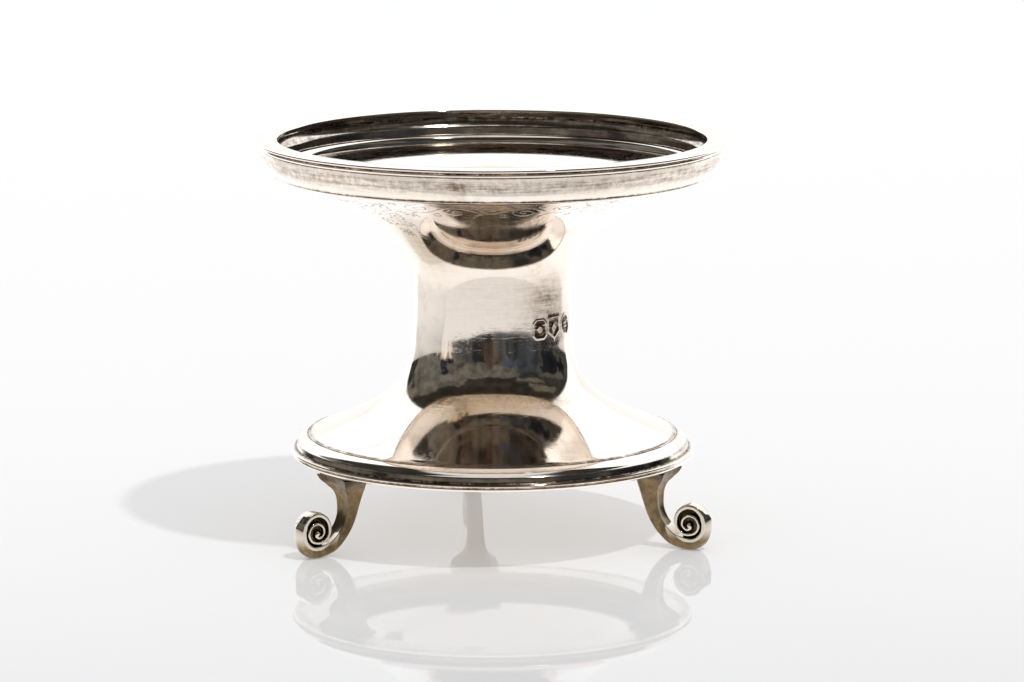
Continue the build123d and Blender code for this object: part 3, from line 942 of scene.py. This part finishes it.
# ---------------------------------------- studio
# What the silver mirrors in front of the bowl: patches of a dim room, as the middle and half width in
# degrees round, the lowest and highest sine of the elevation, and a colour. Later ones lie on top.
ROOM = [
    (-89, 41, -0.03, 0.62, (0.145, 0.14, 0.125)),
    (-72, 6, 0.03, 0.3, (0.02, 0.021, 0.025)),
    (-56, 8, 0.1, 0.32, (0.1, 0.083, 0.08)),
    (-76, 2.2, -0.05, -0.01, (1.0, 0.85, 0.65)),
    (-83, 1.6, -0.06, -0.02, (0.9, 0.8, 0.65)),
    (-70, 1.4, -0.06, -0.02, (0.9, 0.8, 0.65)),
    (-12, 37, 0.04, 0.44, (0.12, 0.117, 0.101)),
    (-38, 12, -0.04, 0.04, (0.075, 0.073, 0.075)),
    (-20, 9, -0.02, 0.05, (0.02, 0.02, 0.022)),
    (-8, 4, -0.07, 0.17, (0.075, 0.05, 0.042)),
    (2, 3, -0.09, 0.1, (0.09, 0.075, 0.062)),
    (10, 2.5, -0.12, 0.1, (0.075, 0.09, 0.1)),
    (18, 4, 0.06, 0.12, (0.055, 0.07, 0.11)),
    (52, 22, -0.06, 0.3, (0.045, 0.052, 0.06)),
    (88, 24, -0.05, 0.36, (0.075, 0.073, 0.066)),
    (84, 13, -0.06, 0.26, (0.013, 0.014, 0.018)),
    (78, 20, 0.6, 0.68, (0.13, 0.125, 0.1)),
    (50, 16, 0.46, 0.52, (0.11, 0.105, 0.09)),
]
# The room's middle and half width in degrees round, how much narrower it is overhead, and the sine
# of the elevation where it ends
ROOM_MIDDLE, ROOM_HALF_WIDTH, ROOM_LEAN, ROOM_TOP = -15, 136, 26, 0.91
# Behind the bowl a brighter backdrop starts this far round from the room's middle
BACKDROP_FROM, BACKDROP_TOP = 155, 0.25
# Soft margins, in radians round and in the sine of the elevation
ROOM_SOFT, BACKDROP_SOFT, PATCH_SOFT, OVERHEAD_SOFT = (0.05, 0.04), (0.15, 0.08), (0.13, 0.045), 0.1
# Clutter makes the room this much darker and lighter
DARKER, LIGHTER = 0.65, 1.35
CEILING = (0.036, 0.034, 0.03)
SURROUND, OVERHEAD, BACKDROP = (1.4, 1.46, 1.52), (0.8, 0.81, 0.82), (1.12, 1.12, 1.13)
FILL = (0.6, 0.6, 0.6)
# The silver mirrors only the near sheet of the floor, which ends at these places, in millimetres
FLOOR_FRONT, FLOOR_LEFT, FLOOR_RIGHT, FLOOR_FAR = -62, -550, 340, 2500
# A card glowing with painted light lies in front of it, just below the floor, and only the silver sees it, as
# a painted reflection
CARD = [(FLOOR_LEFT, FLOOR_FRONT), (FLOOR_LEFT, -250), (-330, -420), (30, -385), (110, -385), (320, -250),
        (FLOOR_RIGHT, FLOOR_FRONT)]
CARD_HEIGHT, CARD_GLOW = -0.5, 0.9


def painted_reflection_card():
    card = mesh_object("studio_card", [(x, y, CARD_HEIGHT) for x, y in CARD], [tuple(range(len(CARD)))])
    card.data.materials.append(glowing_card(CARD_GLOW))
    card.visible_camera = card.visible_diffuse = card.visible_shadow = False


def floor():
    """The white floor in four sheets."""
    material = white_floor()
    front, left, right, far = FLOOR_FRONT, FLOOR_LEFT, FLOOR_RIGHT, FLOOR_FAR
    for name, corners in (("near", ((left, front), (right, far))), ("front", ((-far, -far), (far, front))),
                          ("left", ((-far, front), (left, far))), ("right", ((right, front), (far, far)))):
        (x0, y0), (x1, y1) = corners
        sheet = mesh_object(f"studio_floor_{name}", [(x0, y0, 0), (x1, y0, 0), (x1, y1, 0), (x0, y1, 0)],
                            [(0, 1, 2, 3)])
        sheet.data.materials.append(material)
        sheet.visible_glossy = name == "near"


def surroundings():
    """White light from all round, and a dim room in front that only the silver mirrors."""
    world = bpy.data.worlds.new("studio")
    bpy.context.scene.world = world
    nodes = Nodes(world)
    facing = nodes.make("TexCoord").outputs["Generated"]
    x, y, rise = nodes.make("SeparateXYZ", in_Vector=facing).outputs
    turn = nodes.maths("ARCTAN2", x, nodes.times(y, -1.0))

    def shaken(value, scale, channel, by):
        """A coordinate pushed about by noise, so that nothing in the room has a ruled edge."""
        noise = nodes.noise(facing, scale, 4.0).outputs["Color"]
        push = nodes.make("SeparateColor", in_Color=noise).outputs[channel]
        return nodes.plus(value, nodes.remap(push, to_low=-by, to_high=by))

    spread = nodes.maths("ABSOLUTE", nodes.maths("SUBTRACT", turn, math.radians(ROOM_MIDDLE)))
    leaning = nodes.plus(spread, nodes.remap(rise, to_high=math.radians(ROOM_LEAN)))
    in_room = nodes.times(nodes.between(leaning, -1.0, math.radians(ROOM_HALF_WIDTH), ROOM_SOFT[0]),
                          nodes.between(rise, -1.0, ROOM_TOP, ROOM_SOFT[1]))
    behind = nodes.times(nodes.between(spread, math.radians(BACKDROP_FROM), 4.0, BACKDROP_SOFT[0]),
                         nodes.between(rise, -1.0, BACKDROP_TOP, BACKDROP_SOFT[1]))
    seen = nodes.mix(nodes.between(rise, ROOM_TOP, 1.0, OVERHEAD_SOFT), SURROUND, OVERHEAD)
    seen = nodes.mix(behind, seen, BACKDROP)
    seen = nodes.mix(in_room, seen, CEILING)
    turn, rise = shaken(turn, 5.0, "Red", 0.5), shaken(rise, 4.0, "Green", 0.12)
    for middle, half, low, high, colour in ROOM:
        left, right = math.radians(middle - half), math.radians(middle + half)
        patch = nodes.times(nodes.between(turn, left, right, PATCH_SOFT[0]),
                            nodes.between(rise, low, high, PATCH_SOFT[1]))
        seen = nodes.mix(nodes.times(patch, in_room), seen, colour)
    clutter = nodes.noise(facing, 5.0, 3.0).outputs["Fac"]
    shade = nodes.remap(clutter, 0.35, 0.65, DARKER, LIGHTER)
    seen = nodes.mix(in_room, seen, shade, "MULTIPLY")

    ray = nodes.make("LightPath").outputs
    seen = nodes.mix(ray["Is Glossy Ray"], FILL, seen)
    seen = nodes.mix(ray["Is Camera Ray"], seen, WHITE)
    light = nodes.make("Background", in_Color=seen, in_Strength=1.0)
    nodes.finish("OutputWorld", light.outputs["Background"])


def key_light():
    """One soft sun high on the right and a little in front."""
    lamp = bpy.data.lights.new("key", "SUN")
    lamp.energy = 0.88
    lamp.angle = math.radians(2.6)
    holder = bpy.data.objects.new("key", lamp)
    bpy.context.scene.collection.objects.link(holder)
    towards_sun = Vector((0.332, -0.42, 1.0))
    holder.rotation_mode = "QUATERNION"
    holder.rotation_quaternion = towards_sun.to_track_quat("Z", "Y")


def camera():
    """At the photograph's viewing angle, a long lens about 0.8 m away."""
    down, distance, below_rim, aside = math.radians(10.15), 0.817, 0.0351, 0.00335
    lens = bpy.data.cameras.new("camera")
    lens.sensor_width = 36.0
    lens.lens = 168.75
    lens.dof.use_dof = False
    lens.clip_start, lens.clip_end = 0.05, 20.0
    eye = bpy.data.objects.new("camera", lens)
    bpy.context.scene.collection.objects.link(eye)
    back = Vector((math.sin(CAMERA_ANGLE) * math.cos(down), -math.cos(CAMERA_ANGLE) * math.cos(down),
                   math.sin(down)))
    right = Vector((math.cos(CAMERA_ANGLE), math.sin(CAMERA_ANGLE), 0))
    eye.location = Vector((0, 0, HEIGHT * MM - below_rim)) + right * aside + back * distance
    eye.rotation_mode = "QUATERNION"
    eye.rotation_quaternion = back.to_track_quat("Z", "Y")
    bpy.context.scene.camera = eye
    bpy.context.scene.view_settings.view_transform = "Standard"


camera()
painted_reflection_card()
floor()
surroundings()
key_light()

bright = silver("polished_silver", clean=(0.9, 0.815, 0.735), stain=(0.2, 0.13, 0.075), roughness=0.05,
                cloudy_from=0.56, scratch_depth=0.05, grain_scale=(160.0, 160.0, 2600.0))
dull = silver("dull_silver", clean=(0.8, 0.75, 0.68), stain=(0.24, 0.17, 0.1), roughness=0.22,
              cloudy_from=0.4, scratch_depth=0.3, grain_scale=(300.0, 300.0, 1500.0))
tarnished = silver("tarnished_silver", clean=(0.86, 0.79, 0.69), stain=(0.25, 0.18, 0.1), roughness=0.1,
                   cloudy_from=0.68, scratch_depth=0.15, grain_scale=(330.0, 330.0, 260.0),
                   grain_range=(0.86, 1.1))

for thing in (rim_lip(), rim_bead(), rim_band(), upper_bowl(), base_flare(), base_moulding(), base_bead()):
    thing.data.materials.append(bright)
for thing in (bowl_pan(), foot_seat()):
    thing.data.materials.append(dull)
for thing in (*scroll_feet(), *foot_plates()):
    thing.data.materials.append(tarnished)
